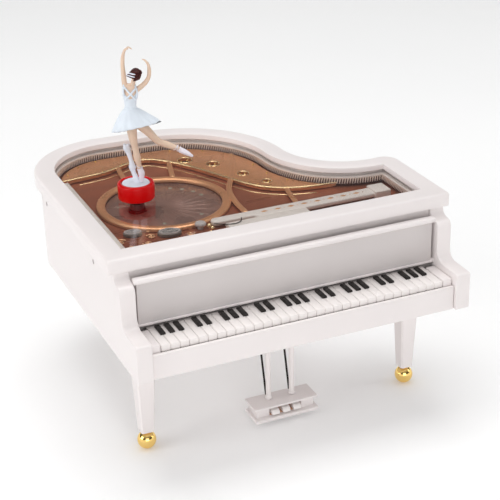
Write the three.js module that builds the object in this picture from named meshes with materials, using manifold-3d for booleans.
// A grand-piano music box with a dancer that glides over its glazed lid.
// Millimetres, +Z up. The origin is on the floor under the middle of the outline:
// X runs from the bass end of the keyboard to the treble end, Y from the keys to the tail.
import * as THREE from 'three';
import { mergeVertices } from 'three/addons/utils/BufferGeometryUtils.js';
import Module from 'manifold-3d';

const wasm = await Module();
wasm.setup();

// ---- Driving dimensions ----------------------------------------------------------------

const gap = 0.3; // air left between pieces that touch
const lidHalfWidth = 100;
const lidFrontY = -72.5;
const lidTopZ = 122;
const lidThickness = 8;
const lidBorder = 12; // width of the frame round the window
const lidOverhang = 3.2; // lid edge past the case wall
const caseBottomZ = 64.8;
const wallThickness = 3.2;
const floorThickness = 2.5;
const armReach = 29; // how far the arms stand in front of the lid
const armThickness = 8.6;
const armTopZ = 86;
const ballRadius = 5.3;

// The piano outline is straight lines and four arcs, each touching the next.
const tail = { x: -51, y: 52.5, r: 49 };
const shoulder = { x: -22, y: 31.5, r: 68.6 };
const waist = { x: 86, y: 33.5, r: 39.4 };
const trebleCorner = { r: 9 };

// The turning gear stands on one vertical axis under the ring of the gold plate.
const drive = { x: -39.5, y: 7.5 };
const gearModule = 1;
const sunTeeth = 16;
const planetTeeth = 16;
const orbitRadius = (gearModule * (sunTeeth + planetTeeth)) / 2;
const ringInnerRadius = 33.2;
const ringOuterRadius = 38.3;
const turntableRadius = 33.6;

// The fallboard swings on this line over the keys.
const hinge = { y: -75.2, z: 84.6 };
const fallboardHeight = 26.7; // from the hinge line to the top edge

// Derived levels and faces, from the top down.
const windowTopZ = lidTopZ - 3.5;
const windowThickness = 1.6;
const lidBottomZ = lidTopZ - lidThickness;
const caseTopZ = lidBottomZ - gap;
const soundboardTopZ = lidTopZ - 11.1;
const soundboardThickness = 2.4;
const trimBottomZ = soundboardTopZ + gap;
const floorTopZ = caseBottomZ + floorThickness;
const bedplateBottomZ = floorTopZ + 3.7;
const bedplateTopZ = bedplateBottomZ + 1.6;
const standoffPlaces = [[-54, -8], [-54, 22], [4, -12]];
const caseInset = lidOverhang;
const innerInset = lidOverhang + wallThickness;
const caseHalfWidth = lidHalfWidth - lidOverhang;
const armInnerX = caseHalfWidth - armThickness;
const armFrontY = lidFrontY - armReach;
const slipFrontY = armFrontY + 2;
const slipBackY = slipFrontY + 2.2;

// ---- Colours ---------------------------------------------------------------------------

const plastic = (color, roughness = 0.35) => new THREE.MeshStandardMaterial({ color, roughness });
const metal = (color, roughness = 0.3) =>
  new THREE.MeshStandardMaterial({ color, roughness, metalness: 1 });

const white = plastic(0xeee4e2);
const paleGrey = plastic(0xc9c0bd);
const ivory = plastic(0xf4efe9, 0.3);
const ebony = plastic(0x1d1614, 0.3);
const gold = metal(0xb98a50);
const polishedGold = metal(0xe0ae40, 0.12);
const brown = plastic(0x6e4637, 0.4);
const smoke = plastic(0x82706a, 0.25);
const red = plastic(0xc80606, 0.15);
const discWhite = plastic(0xe6ebf2);
const skin = plastic(0xd9a982, 0.5);
const dressBlue = plastic(0xdfe7f0, 0.45);
const hairBrown = plastic(0x3a1410, 0.4);
const steel = metal(0xb4b6b8, 0.35);
const brass = metal(0xc9a452, 0.3);
const magnetGrey = metal(0x5c5c60, 0.4);
const acrylic = new THREE.MeshStandardMaterial({
  color: 0xffffff,
  roughness: 0.05,
  transparent: true,
  opacity: 0.25,
});

// ---- Shape helpers ---------------------------------------------------------------------

const rad = THREE.MathUtils.degToRad;
const cornerGrid = 1e-3;

// Corners are rounded to a fixed grid first, so that faces meant to be flush agree exactly.
function toSolid(geometry) {
  const bare = geometry.clone();
  bare.deleteAttribute('normal');
  bare.deleteAttribute('uv');
  const corners = bare.attributes.position.array;
  corners.forEach((value, index) => {
    corners[index] = Math.round(value / cornerGrid) * cornerGrid;
  });
  const merged = mergeVertices(bare, cornerGrid / 2);
  return new wasm.Manifold(
    new wasm.Mesh({
      numProp: 3,
      vertProperties: merged.attributes.position.array,
      triVerts: new Uint32Array(merged.index.array),
    }),
  );
}

function toGeometry(solid) {
  const mesh = solid.getMesh();
  const geometry = new THREE.BufferGeometry();
  geometry.setAttribute('position', new THREE.BufferAttribute(mesh.vertProperties, 3));
  geometry.setIndex(new THREE.BufferAttribute(mesh.triVerts, 1));
  const flat = geometry.toNonIndexed();
  flat.computeVertexNormals();
  return flat;
}

const join = (...pieces) => toGeometry(pieces.map(toSolid).reduce((a, b) => a.add(b)));
const cut = (piece, ...tools) =>
  toGeometry(tools.map(toSolid).reduce((a, b) => a.subtract(b), toSolid(piece)));

const root = new THREE.Group();

function add(name, geometry, material, parent = root) {
  const mesh = new THREE.Mesh(geometry, material);
  mesh.name = name;
  parent.add(mesh);
  return mesh;
}

// An outline in X and Y, given thickness from one level up to another.
function plate(shape, bottomZ, topZ, curveSegments = 6) {
  const options = { depth: topZ - bottomZ, bevelEnabled: false, curveSegments };
  return new THREE.ExtrudeGeometry(shape, options).translate(0, 0, bottomZ);
}

// An outline in Y and Z, run along X.
function alongX(shape, fromX, toX, curveSegments = 6) {
  const turn = new THREE.Matrix4().makeBasis(
    new THREE.Vector3(0, 1, 0),
    new THREE.Vector3(0, 0, 1),
    new THREE.Vector3(1, 0, 0),
  );
  return plate(shape, fromX, toX, curveSegments).applyMatrix4(turn);
}

// An outline in X and Z, run along Y.
function alongY(shape, fromY, toY, curveSegments = 6) {
  return plate(shape, -toY, -fromY, curveSegments).rotateX(rad(90));
}

function block(fromX, toX, fromY, toY, fromZ, toZ) {
  return new THREE.BoxGeometry(toX - fromX, toY - fromY, toZ - fromZ).translate(
    (fromX + toX) / 2,
    (fromY + toY) / 2,
    (fromZ + toZ) / 2,
  );
}

// An upright round bar; a second radius gives it a taper towards its top.
function post(x, y, fromZ, toZ, radius, sides = 16, topRadius = radius) {
  return new THREE.CylinderGeometry(topRadius, radius, toZ - fromZ, sides)
    .rotateX(rad(90))
    .translate(x, y, (fromZ + toZ) / 2);
}

// A round bar between two points.
function rod(from, to, radius, sides = 10, endRadius = radius) {
  const start = new THREE.Vector3(...from);
  const end = new THREE.Vector3(...to);
  const span = end.clone().sub(start);
  const lay = new THREE.Quaternion().setFromUnitVectors(
    new THREE.Vector3(0, 1, 0),
    span.clone().normalize(),
  );
  return new THREE.CylinderGeometry(endRadius, radius, span.length(), sides)
    .applyQuaternion(lay)
    .translate(...start.add(end).multiplyScalar(0.5).toArray());
}

function ball(x, y, z, radius, sides = 12) {
  return new THREE.SphereGeometry(radius, sides, sides / 2).rotateX(rad(90)).translate(x, y, z);
}

// A profile of [radius, height] pairs from bottom to top, turned about a vertical axis.
function turned(profile, x, y, sides = 24) {
  const points = profile.map(([r, z]) => new THREE.Vector2(r, z));
  return new THREE.LatheGeometry(points, sides).rotateX(rad(90)).translate(x, y, 0);
}

function polygon(points) {
  return new THREE.Shape(points.map(([a, b]) => new THREE.Vector2(a, b)));
}

function rectangle(fromA, toA, fromB, toB) {
  return polygon([[fromA, fromB], [toA, fromB], [toA, toB], [fromA, toB]]);
}

function circle(a, b, radius) {
  const shape = new THREE.Shape();
  shape.absarc(a, b, radius, 0, 2 * Math.PI);
  return shape;
}

// The piano outline, drawn in from the lid's edge by the inset.
function pianoOutline(inset) {
  const left = -lidHalfWidth + inset;
  const right = lidHalfWidth - inset;
  const front = lidFrontY + inset;
  const waistR = waist.r + inset;
  const waistToShoulder = Math.atan2(shoulder.y - waist.y, shoulder.x - waist.x);
  const tailToShoulder = Math.atan2(shoulder.y - tail.y, shoulder.x - tail.x);
  const apart = Math.hypot(shoulder.x - tail.x, shoulder.y - tail.y);
  const tangent = tailToShoulder + Math.acos((tail.r - shoulder.r) / apart);
  const shape = new THREE.Shape();
  shape.moveTo(left, front);
  shape.lineTo(right, front);
  let waistStart = Math.atan2(-Math.sqrt(waistR ** 2 - (right - waist.x) ** 2), right - waist.x);
  if (inset < trebleCorner.r) {
    const centreX = lidHalfWidth - trebleCorner.r;
    const reach = waist.r + trebleCorner.r;
    const centreY = waist.y - Math.sqrt(reach ** 2 - (centreX - waist.x) ** 2);
    const turnEnd = Math.atan2(waist.y - centreY, waist.x - centreX);
    shape.absarc(centreX, centreY, trebleCorner.r - inset, 0, turnEnd);
    waistStart = turnEnd - Math.PI;
  }
  shape.absarc(waist.x, waist.y, waistR, waistStart, waistToShoulder, true);
  shape.absarc(shoulder.x, shoulder.y, shoulder.r - inset, waistToShoulder - Math.PI, tangent);
  shape.absarc(tail.x, tail.y, tail.r - inset, tangent, Math.PI);
  return shape;
}

function pianoRing(outerInset, holeInset) {
  const shape = pianoOutline(outerInset);
  shape.holes.push(pianoOutline(holeInset));
  return shape;
}

// A spur gear's outline. The first tooth points along the first axis, plus the turn given.
function gearShape(teeth, module, centreA, centreB, turn = 0, boreRadius = 0) {
  const tipRadius = (module * teeth) / 2 + 0.8 * module;
  const rootRadius = (module * teeth) / 2 - 1.15 * module;
  const pitch = (2 * Math.PI) / teeth;
  const corners = [
    [-0.31, rootRadius],
    [-0.11, tipRadius],
    [0.11, tipRadius],
    [0.31, rootRadius],
  ];
  const points = [];
  for (let tooth = 0; tooth < teeth; tooth += 1) {
    for (const [share, radius] of corners) {
      const angle = turn + (tooth + share) * pitch;
      points.push([centreA + radius * Math.cos(angle), centreB + radius * Math.sin(angle)]);
    }
  }
  const shape = polygon(points);
  if (boreRadius > 0) shape.holes.push(circle(centreA, centreB, boreRadius));
  return shape;
}

// ---- Case and lid ----------------------------------------------------------------------

// An arm's side profile: an ogee from under the lid down to a flat top, then the front edge.
function armProfile() {
  const shoulderY = lidFrontY - 7.5;
  const backY = lidFrontY + 6;
  const shape = new THREE.Shape();
  shape.moveTo(backY, caseBottomZ);
  shape.lineTo(armFrontY, caseBottomZ);
  shape.lineTo(armFrontY, armTopZ - 1.5);
  shape.quadraticCurveTo(armFrontY, armTopZ + 0.3, armFrontY + 1.8, armTopZ + 0.3);
  shape.lineTo(shoulderY - 6, armTopZ + 0.4);
  shape.quadraticCurveTo(shoulderY, armTopZ + 0.6, shoulderY, armTopZ + 7);
  shape.lineTo(shoulderY, caseTopZ - 9);
  shape.quadraticCurveTo(shoulderY, caseTopZ - 5, shoulderY + 4, caseTopZ - 4.6);
  shape.quadraticCurveTo(lidFrontY + 1.5, caseTopZ - 4.2, lidFrontY + 1.5, caseTopZ);
  shape.lineTo(backY, caseTopZ);
  return shape;
}

const sideScrewY = [-38.3, 48.2];
const sideScrewZ = 107;
const legPlaces = {
  front_left: [-80.7, -60.5],
  front_right: [80.7, -60.5],
  rear: [-25, 67.5],
};
const lyre = { postX: 7.2, postY: -60.9, boxTopZ: 11.7, bottomZ: 3 };

function buildCase() {
  const wall = plate(pianoRing(caseInset, innerInset), caseBottomZ, caseTopZ, 8);
  const leftArm = alongX(armProfile(), -caseHalfWidth, -armInnerX, 5);
  const rightArm = alongX(armProfile(), armInnerX, caseHalfWidth, 5);
  const underFrontWall = block(
    -armInnerX, armInnerX, lidFrontY, lidFrontY + innerInset + 1, caseBottomZ - 1, floorTopZ + gap,
  );
  const pivotHoles = [-1, 1].map((side) =>
    rod([side * (armInnerX - 1), hinge.y, hinge.z], [side * (armInnerX + 2.2), hinge.y, hinge.z], 1.15, 12),
  );
  const screwHoles = sideScrewY.map((y) =>
    rod([-caseHalfWidth - 1, y, sideScrewZ], [-caseHalfWidth + 5, y, sideScrewZ], 1.4, 12),
  );
  const shell = cut(join(wall, leftArm, rightArm), underFrontWall, ...pivotHoles, ...screwHoles);
  add('case_shell', shell, white);

  const floor = pianoOutline(innerInset + gap);
  const forward = block(
    -armInnerX + gap, armInnerX - gap, slipBackY + gap, lidFrontY + innerInset + 1, caseBottomZ, floorTopZ,
  );
  const standoffs = standoffPlaces.map(([x, y]) => post(x, y, floorTopZ - 1, bedplateBottomZ - gap, 3, 10));
  const openings = [
    post(drive.x, drive.y, caseBottomZ - 1, floorTopZ + 1, 5, 20),
    ...Object.values(legPlaces).map(([x, y]) => post(x, y, caseBottomZ - 1, floorTopZ + 1, 3.3, 12)),
    ...[-1, 1].map((side) => post(side * lyre.postX, lyre.postY, caseBottomZ - 1, floorTopZ + 1, 1.8, 12)),
    ...standoffPlaces.map(([x, y]) => post(x, y, caseBottomZ - 1, bedplateBottomZ + 1, 1.2, 8)),
  ];
  const floorPlate = join(plate(floor, caseBottomZ, floorTopZ), forward, ...standoffs);
  add('bottom_plate', cut(floorPlate, ...openings), white);

  sideScrewY.forEach((y, index) => {
    const head = rod([-caseHalfWidth + 0.6, y, sideScrewZ], [-caseHalfWidth + 1.4, y, sideScrewZ], 1.15, 10);
    const shank = rod([-caseHalfWidth + 1.3, y, sideScrewZ], [-caseHalfWidth + 7, y, sideScrewZ], 0.7, 8);
    add(`side_screw_${index + 1}`, join(head, shank), steel);
  });
}

function buildLid() {
  const seatInset = lidBorder - 2;
  const seatTopZ = windowTopZ + gap;
  const lower = plate(pianoRing(0, seatInset), lidBottomZ, seatTopZ, 8);
  const upper = plate(pianoRing(0, lidBorder), seatTopZ - 0.01, lidTopZ, 8);
  add('lid_frame', join(lower, upper), white);
  const pane = pianoOutline(seatInset + gap);
  add('window', plate(pane, windowTopZ - windowThickness, windowTopZ, 8), acrylic);
  const band = pianoRing(seatInset + gap, lidBorder + 1);
  add('fluted_liner', plate(band, trimBottomZ, windowTopZ - windowThickness - gap, 8), paleGrey);
}

// ---- Inside the window -----------------------------------------------------------------

function buildSoundboard() {
  const board = pianoOutline(innerInset + gap);
  const bottomZ = soundboardTopZ - soundboardThickness;
  const innerX = -caseHalfWidth + wallThickness;
  const lugs = sideScrewY.map((y) =>
    block(innerX + gap, innerX + 6, y - 3.5, y + 3.5, sideScrewZ - 3.5, bottomZ + 0.5),
  );
  const screwHoles = sideScrewY.map((y) =>
    rod([innerX - 1, y, sideScrewZ], [innerX + 5, y, sideScrewZ], 1, 8),
  );
  const well = post(drive.x, drive.y, bottomZ - 1, soundboardTopZ + 1, turntableRadius + 0.6, 36);
  add('soundboard', cut(join(plate(board, bottomZ, soundboardTopZ), ...lugs), well, ...screwHoles), brown);
}

// The iron frame: a band round the tail and bent side, struts and the turntable's ring.
function buildHarpPlate() {
  const topZ = trimBottomZ + 2.2;
  const band = plate(pianoOutline(lidBorder + 1.4), trimBottomZ, topZ);
  const open = new THREE.Shape();
  open.moveTo(-90, -80);
  open.lineTo(95, -80);
  open.lineTo(95, -8);
  open.lineTo(63, -8);
  open.lineTo(60, -12.5);
  open.bezierCurveTo(40, -12, 26, -7, 18, 2.6);
  open.bezierCurveTo(9, 14, 2, 36, -8.5, 53.4);
  open.bezierCurveTo(-16, 66, -24, 73, -30, 73);
  open.bezierCurveTo(-42, 73, -50, 63.6, -64, 62.6);
  open.lineTo(-90, 60);
  const body = cut(band, plate(open, trimBottomZ - 1, topZ + 1));
  const ring = circle(drive.x, drive.y, ringOuterRadius);
  ring.holes.push(circle(drive.x, drive.y, ringInnerRadius));
  const strut = (points, width) => {
    const path = new THREE.CatmullRomCurve3(points.map(([x, y]) => new THREE.Vector3(x, y, 0)));
    const section = rectangle(-1, 1, -width / 2, width / 2);
    const bar = new THREE.ExtrudeGeometry(section, { steps: 4 * (points.length - 1), extrudePath: path });
    return bar.translate(0, 0, (trimBottomZ + topZ) / 2);
  };
  const struts = [
    strut([[-43, 77], [-47, 60], [-49, 43.5]], 3),
    strut([[-11.4, 75], [-18, 55], [-21.5, 40.5]], 3),
    strut([[21, 50], [6.4, 17.5], [-1, 4.5], [-3.4, -11], [-4, -27]], 3.2),
    strut([[33, 4], [30, -12], [26, -28]], 2.8),
  ];
  const holes = [[-5.5, 61], [7.5, 47.7], [17.5, 25.3], [25.2, 8.1]].map(([x, y], index) =>
    post(x, y, trimBottomZ - 1, topZ + 1, 4.2 - 0.5 * index, 14),
  );
  const plateWithHoles = cut(body, ...holes);
  add('harp_plate', join(plateWithHoles, plate(ring, trimBottomZ, topZ, 14), ...struts), gold);
}

// The damper rail lies across the strings, with a plain title plate in front of it.
function buildFrontTrim() {
  const railTopZ = trimBottomZ + 3.6;
  const rail = join(
    block(-24, -1, -36.4, -29.8, trimBottomZ + 0.9, railTopZ),
    block(-2, 72, -39.3, -29.8, trimBottomZ + 0.9, railTopZ),
    post(-24, -33.1, trimBottomZ + 0.9, railTopZ, 3.3, 18),
    block(71, 81, -40.3, -28.8, trimBottomZ, railTopZ + 0.9),
    block(-20, -12, -36, -33, trimBottomZ, railTopZ - 1),
  );
  const notches = [-4.5, 27].map((x) => block(x, x + 3.6, -45, -25, trimBottomZ - 1, trimBottomZ + 1.2));
  const rails = cut(rail, ...notches);
  add('damper_rail', rails, white);
  add('title_plate', block(-22, 26.5, -51.3, -40.8, trimBottomZ, trimBottomZ + 4.2), white);
}

// ---- Keyboard --------------------------------------------------------------------------

const whiteKeys = 32;
const keyboardHalfWidth = 82;
const keyPitch = (2 * keyboardHalfWidth) / whiteKeys;
const keyTopZ = 82;
const keyCheekTopZ = keyTopZ + 0.5;
const keyFrontY = slipBackY + gap + 0.1;
// White keys from an F: true where a black key stands after the note (F G A B C D E).
const blackAfter = [true, true, true, false, true, true, false];

function buildKeyboard() {
  const keyBackY = -74.2;
  const groove = { width: 0.35, depth: 0.7 };
  const outline = [[-keyboardHalfWidth, keyTopZ - 3]];
  outline.push([keyboardHalfWidth, keyTopZ - 3], [keyboardHalfWidth, keyTopZ]);
  for (let key = whiteKeys - 1; key > 0; key -= 1) {
    const x = -keyboardHalfWidth + key * keyPitch;
    outline.push([x + groove.width / 2, keyTopZ], [x + groove.width / 2, keyTopZ - groove.depth]);
    outline.push([x - groove.width / 2, keyTopZ - groove.depth], [x - groove.width / 2, keyTopZ]);
  }
  outline.push([-keyboardHalfWidth, keyTopZ]);
  const tops = alongY(polygon(outline), keyFrontY, keyBackY);
  const frontWall = block(
    -keyboardHalfWidth, keyboardHalfWidth, keyFrontY, keyFrontY + 1.6, floorTopZ + gap, keyTopZ - 2,
  );
  const backWall = block(
    -keyboardHalfWidth, keyboardHalfWidth, keyBackY - 1.6, keyBackY, floorTopZ + gap, keyTopZ - 2,
  );
  add('white_keys', join(tops, frontWall, backWall), ivory);

  const black = { halfWidth: 1.4, frontY: -86.4, backY: -76.9, height: 0.7 };
  const bottomZ = keyTopZ + gap;
  const railTopZ = bottomZ + black.height - 0.1;
  const rail = block(-79, 79, black.backY - 0.2, black.backY + 0.9, bottomZ, railTopZ);
  const keys = [];
  for (let key = 0; key < whiteKeys - 1; key += 1) {
    if (!blackAfter[key % blackAfter.length]) continue;
    const x = -keyboardHalfWidth + (key + 1) * keyPitch;
    const side = polygon([
      [black.frontY, bottomZ],
      [black.backY, bottomZ],
      [black.backY, bottomZ + black.height],
      [black.frontY + 0.3, bottomZ + black.height],
    ]);
    keys.push(alongX(side, x - black.halfWidth, x + black.halfWidth));
  }
  add('black_keys', join(rail, ...keys), ebony);

  for (const [name, side] of [['left', -1], ['right', 1]]) {
    const near = side * (keyboardHalfWidth + gap);
    const far = side * (armInnerX - gap);
    const span = [Math.min(near, far), Math.max(near, far)];
    add(`key_block_${name}`, block(...span, keyFrontY, -78.4, floorTopZ + gap, keyCheekTopZ), white);
  }
  const slip = block(-armInnerX + gap, armInnerX - gap, slipFrontY, slipBackY, caseBottomZ, caseBottomZ + 14);
  add('key_slip', slip, white);
}

// The fallboard stands open: a barrel on its lower edge, a panel and a rounded nose on top.
function buildFallboard() {
  const frontFace = hinge.y - 1.3;
  const backFace = hinge.y + 1.2;
  const topZ = hinge.z + fallboardHeight;
  const noseRadius = 1.5;
  const noseZ = topZ - noseRadius;
  const panelHalfWidth = armInnerX - 2.6;
  const panel = block(-panelHalfWidth, panelHalfWidth, frontFace, backFace, hinge.z, noseZ);
  const bead = new THREE.Shape();
  bead.moveTo(backFace, noseZ - noseRadius);
  bead.lineTo(backFace, topZ);
  bead.lineTo(frontFace - 0.3, topZ);
  bead.absarc(frontFace - 0.3, noseZ, noseRadius, rad(90), rad(270));
  const nose = alongX(bead, -armInnerX + gap, armInnerX - gap, 4);
  const bar = (radius, reach, sides) =>
    rod([-reach, hinge.y, hinge.z], [reach, hinge.y, hinge.z], radius, sides);
  const barrel = bar(1.45, armInnerX - 0.6, 14);
  add('fallboard', join(panel, nose, barrel, bar(0.95, armInnerX + 1.8, 12)), paleGrey);
}

// ---- Legs and pedal lyre ---------------------------------------------------------------

function buildLegs() {
  const topZ = caseBottomZ - gap;
  const footTopZ = 2 * ballRadius + gap;
  const half = { top: 6, bottom: 3.8 };
  const chamfer = 0.9;
  for (const [name, [x, y]] of Object.entries(legPlaces)) {
    const flat = half.bottom - chamfer;
    const corners = [[1, 0], [0, 1], [-1, 0], [0, -1]].flatMap(([a, b]) => [
      [a * half.bottom + b * flat, b * half.bottom - a * flat],
      [a * half.bottom - b * flat, b * half.bottom + a * flat],
    ]);
    const shank = plate(polygon(corners), 0, topZ - footTopZ);
    const corner = shank.attributes.position;
    for (let i = 0; i < corner.count; i += 1) {
      if (corner.getZ(i) === 0) continue;
      corner.setX(i, (corner.getX(i) * half.top) / half.bottom);
      corner.setY(i, (corner.getY(i) * half.top) / half.bottom);
    }
    const placed = shank.translate(x, y, footTopZ);
    const peg = post(x, y, topZ - 1, topZ + 6, 3, 12);
    const socket = post(x, y, footTopZ - 1, footTopZ + 6.3, 1.5, 10);
    add(`leg_${name}`, cut(join(placed, peg), socket), white);
    const stem = post(x, y, ballRadius, footTopZ + 5.8, 1.2, 10);
    add(`ball_foot_${name}`, join(ball(x, y, ballRadius, ballRadius, 16), stem), polishedGold);
  }
}

function buildLyre() {
  const postFootZ = lyre.boxTopZ + gap;
  for (const [name, side] of [['left', -1], ['right', 1]]) {
    const x = side * lyre.postX;
    const pillar = join(
      post(x, lyre.postY, postFootZ, caseBottomZ + 2, 1.5, 14),
      post(x, lyre.postY, postFootZ, postFootZ + 1.2, 2.1, 14),
    );
    add(`lyre_post_${name}`, pillar, white);
    const brace = rod(
      [x, lyre.postY + 3.3, postFootZ + 0.4],
      [x, lyre.postY + 16, caseBottomZ - gap - 0.3],
      0.6,
      8,
    );
    add(`lyre_brace_${name}`, brace, ebony);
  }
  const back = -54.9;
  const front = -69.5;
  const top = block(-19.6, 19.6, front, back, lyre.boxTopZ - 1.2, lyre.boxTopZ);
  const body = block(-17.6, 17.6, front + 1.6, back - 1, lyre.bottomZ + 1, lyre.boxTopZ - 1);
  const base = block(-19.4, 19.4, front - 1.6, back - 0.2, lyre.bottomZ, lyre.bottomZ + 2.2);
  const mouth = block(-9.8, 9.8, front - 5, front + 6, lyre.bottomZ + 2.2, lyre.boxTopZ - 1.6);
  add('pedal_box', cut(join(top, body, base), mouth), white);
  const pedal = new THREE.Shape();
  pedal.moveTo(front - 0.6, lyre.bottomZ + 3.2);
  pedal.lineTo(front + 5.6, lyre.bottomZ + 2.6);
  pedal.lineTo(front + 5.6, lyre.bottomZ + 6.2);
  pedal.lineTo(front + 1.4, lyre.bottomZ + 5.8);
  pedal.quadraticCurveTo(front - 0.4, lyre.bottomZ + 5.6, front - 0.6, lyre.bottomZ + 3.2);
  ['left', 'middle', 'right'].forEach((name, index) => {
    const x = 6.6 * (index - 1);
    add(`pedal_${name}`, alongX(pedal, x - 2.3, x + 2.3, 3), ivory);
  });
}

// ---- Musical movement ------------------------------------------------------------------

const barrel = { radius: 11, bottomZ: 74, topZ: 83, rimRadius: 13.2 };
const crown = { teeth: 36, meanRadius: 12.2, rootZ: barrel.topZ, tipZ: barrel.topZ + 1.3 };
const pinionTeeth = 9;
const pinionModule = (2 * crown.meanRadius) / crown.teeth;
const cylinderAxisZ = barrel.topZ + 0.75 + (pinionModule * pinionTeeth) / 2;
const cylinderRadius = 6.5;
const cylinderFromX = drive.x + 15.2;
const cylinderToX = cylinderFromX + 17.3;
const governorModule = 0.5;
const cylinderGearTeeth = 24;
const governorPinionTeeth = 8;
const governorY = drive.y + (governorModule * (cylinderGearTeeth + governorPinionTeeth)) / 2;
const wormWheelRadius = 3.5;
const worm = { x: cylinderToX + 6, y: governorY + wormWheelRadius + 1.35, bottomZ: 83, topZ: 89.8 };

function buildBedplate() {
  const sheet = rectangle(-57, 7, -16, 27);
  sheet.holes.push(circle(drive.x, drive.y, 2.6));
  for (const [x, y] of standoffPlaces) sheet.holes.push(circle(x, y, 1.3));
  add('movement_bedplate', plate(sheet, bedplateBottomZ, bedplateTopZ, 4), brass);
  standoffPlaces.forEach(([x, y], index) => {
    const head = post(x, y, bedplateTopZ + gap, bedplateTopZ + gap + 1.2, 2.2, 10);
    const shank = post(x, y, floorTopZ + 0.6, bedplateTopZ + gap + 0.1, 0.9, 8);
    add(`movement_screw_${index + 1}`, join(head, shank), steel);
  });
}

// The spring barrel is open underneath round the arbor; crown teeth stand on its rim.
function buildBarrel() {
  const drum = turned(
    [
      [2.6, barrel.bottomZ], [barrel.radius, barrel.bottomZ], [barrel.radius, barrel.topZ - 2.4],
      [barrel.rimRadius, barrel.topZ - 2], [barrel.rimRadius, crown.rootZ], [0, crown.rootZ],
      [0, barrel.topZ - 1], [barrel.radius - 1, barrel.topZ - 1],
      [barrel.radius - 1, barrel.bottomZ + 1], [2.6, barrel.bottomZ + 1], [2.6, barrel.bottomZ],
    ],
    drive.x,
    drive.y,
    24,
  );
  const teeth = [];
  for (let tooth = 0; tooth < crown.teeth; tooth += 1) {
    const turn = (tooth * 2 * Math.PI) / crown.teeth;
    const bar = block(11.3, 13.1, -0.42, 0.42, crown.rootZ - 0.3, crown.tipZ);
    teeth.push(bar.rotateZ(turn).translate(drive.x, drive.y, 0));
  }
  add('spring_barrel', join(drum, ...teeth), brass);

  const turns = 4;
  const stepsPerTurn = 10;
  const stripThickness = 0.45;
  const strip = [];
  const spiral = (offset, index) => {
    const angle = (index / stepsPerTurn) * 2 * Math.PI;
    const radius = 3.6 + (5.8 * index) / (turns * stepsPerTurn) + offset;
    return [drive.x + radius * Math.cos(angle), drive.y + radius * Math.sin(angle)];
  };
  for (let index = 0; index <= turns * stepsPerTurn; index += 1) strip.push(spiral(stripThickness, index));
  for (let index = turns * stepsPerTurn; index >= 0; index -= 1) strip.push(spiral(0, index));
  add('mainspring', plate(polygon(strip), barrel.bottomZ + 1.5, barrel.topZ - 1.6), steel);
}

function buildWindingKey() {
  const wingTopZ = caseBottomZ - 5;
  const arbor = join(
    post(drive.x, drive.y, wingTopZ - 4, barrel.topZ - 1.5, 1.9, 12),
    post(drive.x, drive.y, barrel.bottomZ + 1.6, barrel.bottomZ + 4, 2.9, 12),
  );
  add('winding_arbor', arbor, steel);
  const wing = new THREE.Shape();
  wing.moveTo(-2.2, wingTopZ);
  wing.bezierCurveTo(-4, wingTopZ - 5, -12, wingTopZ - 1, -12, wingTopZ - 8);
  wing.bezierCurveTo(-12, wingTopZ - 15, -3, wingTopZ - 14, 0, wingTopZ - 9.5);
  wing.bezierCurveTo(3, wingTopZ - 14, 12, wingTopZ - 15, 12, wingTopZ - 8);
  wing.bezierCurveTo(12, wingTopZ - 1, 4, wingTopZ - 5, 2.2, wingTopZ);
  const wings = alongY(wing, -0.8, 0.8, 4).translate(drive.x, drive.y, 0);
  const hub = post(drive.x, drive.y, wingTopZ - 7, wingTopZ + 2, 3.1, 14);
  const bore = post(drive.x, drive.y, wingTopZ - 4 - gap, wingTopZ + 3, 1.9 + gap, 12);
  add('winding_key', cut(join(wings, hub), bore), brass);
}

function buildCylinder() {
  const axis = (fromX, toX, radius, sides) =>
    rod([fromX, drive.y, cylinderAxisZ], [toX, drive.y, cylinderAxisZ], radius, sides);
  const pinion = gearShape(pinionTeeth, pinionModule, drive.y, cylinderAxisZ, rad(90));
  const pins = [];
  const rows = 18;
  for (let row = 0; row < rows; row += 1) {
    for (const turn of [35 + 8 * (row % 5), 250 + 13 * (row % 4), 310 + 9 * (row % 3)]) {
      const x = cylinderFromX + 0.7 + (row * (cylinderToX - cylinderFromX - 1.4)) / (rows - 1);
      const pin = block(-0.15, 0.15, cylinderRadius - 0.5, cylinderRadius + 0.45, -0.15, 0.15);
      if (row % 3 === 0) pins.push(pin.rotateX(rad(turn)).translate(x, drive.y, cylinderAxisZ));
    }
  }
  const wheel = gearShape(cylinderGearTeeth, governorModule, drive.y, cylinderAxisZ);
  const drum = join(
    axis(cylinderFromX, cylinderToX, cylinderRadius, 24),
    axis(drive.x + 11.2, cylinderToX + 4.6, 0.9, 10),
    alongX(pinion, drive.x + 11.3, drive.x + 13.1),
    alongX(wheel, cylinderToX + 0.5, cylinderToX + 1.7),
    ...pins,
  );
  add('music_cylinder', drum, brass);

  const upright = (x) =>
    block(x, x + 1, drive.y - 3.4, drive.y + 3.4, bedplateTopZ + gap, cylinderAxisZ + 2.4);
  const bearing = (x) => rod([x - 1, drive.y, cylinderAxisZ], [x + 2, drive.y, cylinderAxisZ], 1.1, 10);
  const leftX = drive.x + 13.7;
  const rightX = cylinderToX + 2.4;
  const sill = block(
    leftX, rightX + 1, drive.y - 3.4, drive.y + 3.4, bedplateTopZ + gap, bedplateTopZ + gap + 1.4,
  );
  const yoke = join(upright(leftX), upright(rightX), sill);
  add('cylinder_frame', cut(yoke, bearing(leftX), bearing(rightX)), steel);
}

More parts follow.
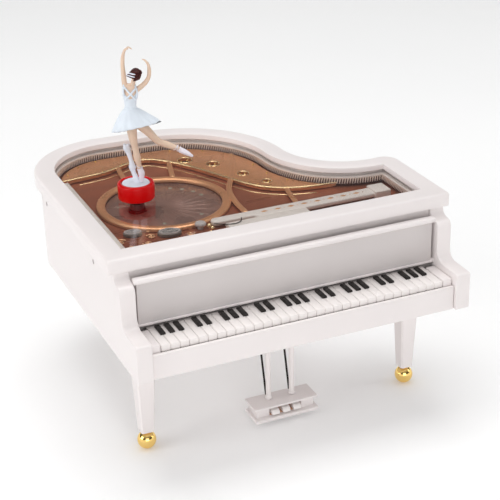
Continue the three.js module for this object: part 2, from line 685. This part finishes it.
function buildComb() {
  const tipY = drive.y - cylinderRadius - 0.9;
  const heelY = tipY - 16;
  const teeth = 18;
  const slot = 0.28;
  const pitch = (cylinderToX - cylinderFromX) / teeth;
  const shape = new THREE.Shape();
  shape.moveTo(cylinderFromX - 2, heelY);
  shape.lineTo(cylinderToX + 2, heelY);
  shape.lineTo(cylinderToX + 2, tipY - 11);
  for (let tooth = teeth; tooth > 0; tooth -= 1) {
    const x = cylinderFromX + tooth * pitch - slot / 2;
    const rootY = tipY - 5 - (6 * tooth) / teeth;
    shape.lineTo(x, rootY);
    shape.lineTo(x, tipY);
    shape.lineTo(x - pitch + slot, tipY);
    shape.lineTo(x - pitch + slot, rootY);
  }
  shape.lineTo(cylinderFromX - 2, tipY - 5);
  const screwX = [cylinderFromX + 1, cylinderToX - 1];
  for (const x of screwX) shape.holes.push(circle(x, heelY + 2.2, 1.2));
  const bottomZ = cylinderAxisZ - 0.4;
  add('comb', plate(shape, bottomZ, bottomZ + 0.8, 3), steel);
  const base = block(
    cylinderFromX - 2, cylinderToX + 2, heelY, heelY + 4.4, bedplateTopZ + gap, bottomZ - gap,
  );
  const bores = screwX.map((x) => post(x, heelY + 2.2, bottomZ - 5, bottomZ, 1, 8));
  add('comb_base', cut(base, ...bores), brass);
  screwX.forEach((x, index) => {
    const head = post(x, heelY + 2.2, bottomZ + 0.8 + gap, bottomZ + 2.1, 1.8, 10);
    const shank = post(x, heelY + 2.2, bottomZ - 4, bottomZ + 1.2, 0.7, 8);
    add(`comb_screw_${index + 1}`, join(head, shank), steel);
  });
}

// A train slows the cylinder: a pinion and worm wheel turn a worm that carries an air brake.
function buildGovernor() {
  const wheelX = worm.x;
  const spindle = rod(
    [cylinderToX + 0.3, governorY, cylinderAxisZ], [wheelX + 1, governorY, cylinderAxisZ], 0.6, 8,
  );
  const pinion = gearShape(governorPinionTeeth, governorModule, governorY, cylinderAxisZ, rad(180 / 8));
  const wormWheelModule = (2 * wormWheelRadius) / 12;
  const wheel = gearShape(12, wormWheelModule * 0.86, governorY, cylinderAxisZ, 0);
  add(
    'governor_wheel',
    join(
      spindle,
      alongX(pinion, cylinderToX + 0.5, cylinderToX + 1.7),
      alongX(wheel, wheelX - 0.4, wheelX + 0.4),
    ),
    brass,
  );

  const lead = (2 * 2 * Math.PI * wormWheelRadius) / 12;
  const section = [];
  const sides = 12;
  for (let side = 0; side < sides; side += 1) {
    const angle = (side * 2 * Math.PI) / sides;
    const radius = 1.05 + 0.22 * Math.cos(2 * angle);
    section.push([radius * Math.cos(angle), radius * Math.sin(angle)]);
  }
  const length = worm.topZ - worm.bottomZ;
  const sweep = { depth: length, steps: 12, bevelEnabled: false };
  const thread = new THREE.ExtrudeGeometry(polygon(section), sweep);
  const point = thread.attributes.position;
  for (let i = 0; i < point.count; i += 1) {
    const turn = ((point.getZ(i) + worm.bottomZ - cylinderAxisZ) * 2 * Math.PI) / lead;
    const [x, y] = [point.getX(i), point.getY(i)];
    point.setX(i, x * Math.cos(turn) - y * Math.sin(turn));
    point.setY(i, x * Math.sin(turn) + y * Math.cos(turn));
  }
  const fly = block(worm.x - 4.2, worm.x + 4.2, worm.y - 0.4, worm.y + 0.4, worm.topZ + 2.4, worm.topZ + 6);
  const shaft = post(worm.x, worm.y, worm.bottomZ - 1.8, worm.topZ + 2.6, 0.5, 8);
  add('governor_worm', join(thread.translate(worm.x, worm.y, worm.bottomZ), shaft, fly), steel);

  const wallX = cylinderToX + 3.6;
  const lugs = [worm.bottomZ - 1.9, worm.topZ + 0.3].map((z) =>
    block(wallX + 0.5, worm.x + 1.5, worm.y - 1.6, worm.y + 1.6, z, z + 1.3),
  );
  const wall = block(wallX, wallX + 1, governorY - 2.6, worm.y + 3, bedplateTopZ + gap, worm.topZ + 1.6);
  const bearings = [
    rod([wallX - 1, governorY, cylinderAxisZ], [wallX + 2, governorY, cylinderAxisZ], 0.8, 8),
    post(worm.x, worm.y, worm.bottomZ - 1.85, worm.topZ + 3, 0.7, 8),
  ];
  add('governor_frame', cut(join(wall, ...lugs), ...bearings), brass);
}

// ---- Turntable and its planet gear -----------------------------------------------------

const sunBottomZ = 104;
const sunTopZ = 107.2;
const turntableBottomZ = 108;
const turntableTopZ = soundboardTopZ - 0.3;
const magnetRadius = 4;

function buildTurntable() {
  const shaftRadius = 2.2;
  add('drive_shaft', post(drive.x, drive.y, crown.rootZ + gap, turntableTopZ - 0.8, shaftRadius, 14), steel);
  const disc = circle(drive.x, drive.y, turntableRadius);
  disc.holes.push(circle(drive.x - orbitRadius, drive.y, 5.3));
  const socket = post(drive.x, drive.y, turntableBottomZ - 1, turntableTopZ - 0.5, shaftRadius + gap, 14);
  add('turntable', cut(plate(disc, turntableBottomZ, turntableTopZ, 16), socket), smoke);

  const sun = gearShape(sunTeeth, gearModule, drive.x, drive.y, 0);
  const reach = turntableRadius + 4.5;
  const barBottomZ = sunBottomZ - 2.8;
  const postTopZ = soundboardTopZ - soundboardThickness - gap;
  const bridge = join(
    block(drive.x - reach, drive.x + reach, drive.y - 4, drive.y + 4, barBottomZ, sunBottomZ - 0.5),
    block(drive.x - reach, drive.x - reach + 3, drive.y - 4, drive.y + 4, barBottomZ, postTopZ),
    block(drive.x + reach - 3, drive.x + reach, drive.y - 4, drive.y + 4, barBottomZ, postTopZ),
    plate(sun, sunBottomZ, sunTopZ),
    post(drive.x, drive.y, barBottomZ + 1, sunBottomZ + 0.5, 6, 16),
  );
  const bore = post(drive.x, drive.y, barBottomZ - 1, sunTopZ + 1, 2.5, 14);
  add('sun_gear_bridge', cut(bridge, bore), ebony);

  const planetX = drive.x - orbitRadius;
  const halfPitch = Math.PI / planetTeeth;
  const planet = join(
    plate(gearShape(planetTeeth, gearModule, planetX, drive.y, halfPitch), sunBottomZ, sunTopZ),
    post(planetX, drive.y, sunTopZ - 1, turntableTopZ + 1.2, 5, 16),
  );
  add('planet_gear', planet, ebony);
  const magnetBottomZ = turntableTopZ + 1.2 + gap;
  const puck = post(planetX, drive.y, magnetBottomZ, magnetBottomZ + 3.6, magnetRadius, 16);
  add('drive_magnet', puck, magnetGrey);
}

// ---- Dancer ----------------------------------------------------------------------------

// She is drawn in a frame of her own: Z up from the top of her stand, X to her trailing leg.
const standRadius = 10.4;
const standHeight = 9.4;
const dancerHeading = -23.5; // degrees between her own X and the keyboard

// A limb is a round bar bent along a smooth line through [x, y, z, radius] joints.
function limb(joints, sides = 8) {
  const line = new THREE.CatmullRomCurve3(joints.map(([x, y, z]) => new THREE.Vector3(x, y, z)));
  const steps = 2 * (joints.length - 1);
  const radiusAt = (share) => {
    const place = share * (joints.length - 1);
    const index = Math.min(Math.floor(place), joints.length - 2);
    return THREE.MathUtils.lerp(joints[index][3], joints[index + 1][3], place - index);
  };
  const profile = [new THREE.Vector2(0, 0)];
  for (let step = 0; step <= steps; step += 1) {
    profile.push(new THREE.Vector2(radiusAt(step / steps), step / steps));
  }
  profile.push(new THREE.Vector2(0, 1));
  const bar = new THREE.LatheGeometry(profile, sides);
  const point = bar.attributes.position;
  const across = new THREE.Vector3();
  const third = new THREE.Vector3();
  for (let i = 0; i < point.count; i += 1) {
    const share = THREE.MathUtils.clamp(point.getY(i), 0, 1);
    const along = line.getTangent(share);
    across.crossVectors(along, new THREE.Vector3(0, 1, 0)).normalize();
    third.crossVectors(across, along);
    const place = line.getPoint(share);
    place.addScaledVector(across, point.getX(i)).addScaledVector(third, point.getZ(i));
    point.setXYZ(i, place.x, place.y, place.z);
  }
  return bar;
}

function buildDancer() {
  const figure = new THREE.Group();
  figure.position.set(drive.x - orbitRadius, drive.y, windowTopZ + gap);
  figure.rotation.z = rad(dancerHeading);
  root.add(figure);

  const cup = turned(
    [
      [0, 3.4], [magnetRadius + gap, 3.4], [magnetRadius + gap, 0],
      [standRadius - 0.5, 0], [standRadius - 0.1, 0.6],
      [standRadius, standHeight - 1], [standRadius - 0.6, standHeight], [8.2, standHeight],
      [8.2, standHeight - 1.6], [0, standHeight - 1.6],
    ],
    0,
    0,
    28,
  );
  add('dancer_base', cup, red, figure);
  add('base_magnet', post(0, 0, 0.2, 3, magnetRadius, 16), magnetGrey, figure);

  const discBottomZ = standHeight - 1.6 + gap;
  const discTopZ = standHeight - 0.4;
  const prop = limb([
    [1, 1.2, discTopZ, 1.7], [-0.7, 2.3, 13.6, 1.4], [-1.8, 3, 17.6, 1.7],
    [-2.4, 3.1, 21.6, 1.3], [-4.3, 2.8, 29.6, 2],
  ]);
  const stand = join(post(0, 0, discBottomZ, discTopZ, 7.9, 28), prop);
  const belowDisc = block(-9, 9, -9, 9, 0, discBottomZ);

  const standing = limb([
    [3.2, -0.2, 12.4, 1.6], [3.3, -0.2, 15, 1.5], [2.5, 0, 19, 1.4],
    [1.3, -0.2, 25, 2], [0.6, 0, 30, 1.9], [-0.3, 0, 37, 2.6], [-0.2, 0, 46, 3.1],
  ]);
  const trailing = limb([
    [0.4, 0, 46, 3.1], [5, 1.5, 41.6, 2.8], [9.4, 2.6, 36.6, 2.3], [13.8, 3.2, 31.2, 1.9],
    [19.5, 3.5, 29, 1.8], [25.5, 3.6, 26.4, 1.4], [28.2, 3.4, 25, 1.7], [31.6, 2.6, 23, 0.9],
  ]);
  const legs = join(standing, trailing);
  add('standing_disc', cut(stand, grown(standing), belowDisc), discWhite, figure);
  const hipCutZ = 46;
  add('dancer_legs', cut(legs, block(-20, 20, -20, 20, hipCutZ, 70)), skin, figure);

  // The skirt flares from the waist, is flatter from back to front and lifts to her right.
  const waistZ = 52.6;
  const skirt = turned(
    [
      [0, -3.6], [3.6, -4.4], [6.8, -6.6], [12.6, -10.8], [13.2, -10.6], [12.8, -9.9],
      [7.2, -5.4], [4, -2.2], [3.3, 0], [0, 0],
    ],
    0,
    0,
    20,
  );
  const hung = skirt.scale(1, 0.62, 1).rotateY(rad(-12)).translate(-0.4, 0, waistZ);
  add('dancer_skirt', hung, dressBlue, figure);

  const torso = limb(
    [[-0.4, 0, waistZ + 1.2, 2.9], [-0.3, 0, 56, 3], [0, 0, 60, 3.9], [0.2, 0, 63, 3.9], [0.8, 0, 65.8, 2.2]],
    10,
  );
  const shoulders = limb([[-2.9, 0, 65.4, 1.6], [0.6, 0, 64.8, 2], [3.8, 0, 63, 1.6]]);
  const neck = limb([[1.3, 0, 65, 1.5], [2.3, 0.2, 69.6, 1.3]]);
  const leftArm = limb([
    [-2.9, 0, 65.4, 1.6], [-3.2, 0.5, 70, 1.5], [-3.3, 0.9, 77, 1.2],
    [-2.6, 1.2, 83.4, 1], [1.6, 1.6, 85.8, 0.8],
  ]);
  const rightArm = limb([
    [3.8, 0, 63, 1.6], [9.4, 0.7, 67.6, 1.4], [10.8, 1, 72.4, 1.1], [10.2, 1.6, 77.2, 1], [8.3, 2, 79.4, 0.8],
  ]);
  const headPlace = [3.1, 0, 71.6];
  const head = ball(0, 0, 0, 3.2, 12).scale(0.86, 1, 1.1).rotateY(rad(12)).translate(...headPlace);
  add('dancer_torso', join(torso, shoulders, neck, leftArm, rightArm, head), skin, figure);

  const cap = ball(0, 0, 0, 3.7, 12).scale(0.95, 1, 1.04).rotateY(rad(12)).translate(3.6, -0.6, 72);
  const bun = ball(4.8, -3.6, 73, 1.6, 10);
  const face = block(-4, 12, 1.4, 8, 60, 72.8);
  const clear = ball(0, 0, 0, 3.2 + gap, 12).scale(0.86, 1, 1.1).rotateY(rad(12)).translate(...headPlace);
  const belowHair = block(-6, 12, -8, 8, 60, 69.2);
  add('dancer_hair', cut(join(cap, bun), clear, face, belowHair), hairBrown, figure);
}

// The same solid a gap wider all round, near enough for slim limbs.
function grown(geometry) {
  const shifts = [[1, 0], [-1, 0], [0, 1], [0, -1]];
  return join(...shifts.map(([x, y]) => geometry.clone().translate(x * gap * 1.4, y * gap * 1.4, 0)));
}

buildCase();
buildLid();
buildSoundboard();
buildHarpPlate();
buildFrontTrim();
buildKeyboard();
buildFallboard();
buildLegs();
buildLyre();
buildBedplate();
buildBarrel();
buildWindingKey();
buildCylinder();
buildComb();
buildGovernor();
buildTurntable();
buildDancer();

export default root;
